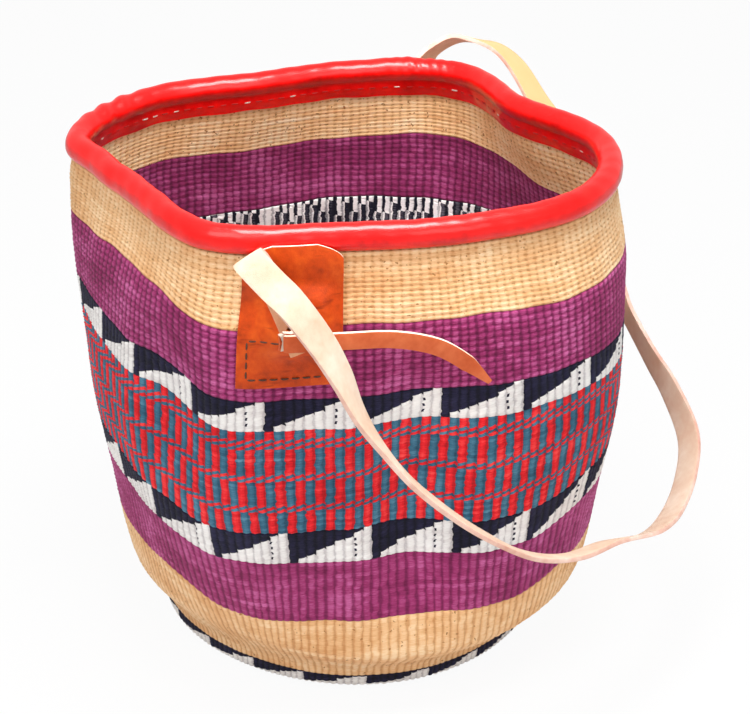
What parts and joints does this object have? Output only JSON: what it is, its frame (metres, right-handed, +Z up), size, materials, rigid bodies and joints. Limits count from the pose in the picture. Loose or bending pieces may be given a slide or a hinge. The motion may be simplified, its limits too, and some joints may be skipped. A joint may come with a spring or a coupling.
{
  "type": "kiondo basket",
  "caption": "Soft woven sisal basket in coloured bands, with a red leather rim roll, leather patches and a long leather strap laced through them.",
  "frame": {"origin": "centre of the flat bottom's underside, on the surface that the basket stands on", "axes": "+Z up, +X to the right of a viewer who faces the front patch, +Y from the front patch towards the back patch"},
  "size_m": [0.3624, 0.3393, 0.3171],
  "materials": {
    "natural_sisal": "matte, twined yarn",
    "purple_sisal": "matte, twined yarn",
    "navy_sisal": "matte, twined yarn",
    "white_sisal": "matte, twined yarn",
    "red_teal_sisal": "matte, red and teal yarn in bars and slanting dashes",
    "grey_green_sisal": "matte, twined yarn",
    "red_leather": "glossy, wrinkled",
    "cane": "raw",
    "sewing_thread": "waxed",
    "orange_leather": "smooth, creased",
    "pale_leather": "soft flesh side",
    "tan_leather": "smooth"
  },
  "bodies": {
    "basket": {"base_band": "navy_sisal", "lower_natural_band": "natural_sisal", "lower_purple_band": "purple_sisal", "lower_white_teeth": "white_sisal", "lower_navy_teeth": "navy_sisal", "zigzag_band": "red_teal_sisal", "upper_white_teeth": "white_sisal", "upper_navy_teeth": "navy_sisal", "upper_purple_band": "purple_sisal", "upper_natural_band": "natural_sisal", "base_disc": "grey_green_sisal", "rim_binding": "red_leather", "rim_hoop": "cane", "rim_thread": "sewing_thread", "front_patch": "orange_leather", "back_patch": "orange_leather", "front_patch_stitching": "sewing_thread", "back_patch_stitching": "sewing_thread", "front_lace": "tan_leather", "back_lace": "tan_leather"},
    "strap": {"strap": "pale_leather"}
  },
  "joints": [
    {"name": "strap_swing", "type": "hinge", "parent": "basket", "child": "strap", "pos_m": [-0.02049, -0.1706, 0.26157], "axis": [-0.0831, -0.9965, -0.0006], "range_deg": [0, 170]}
  ]
}
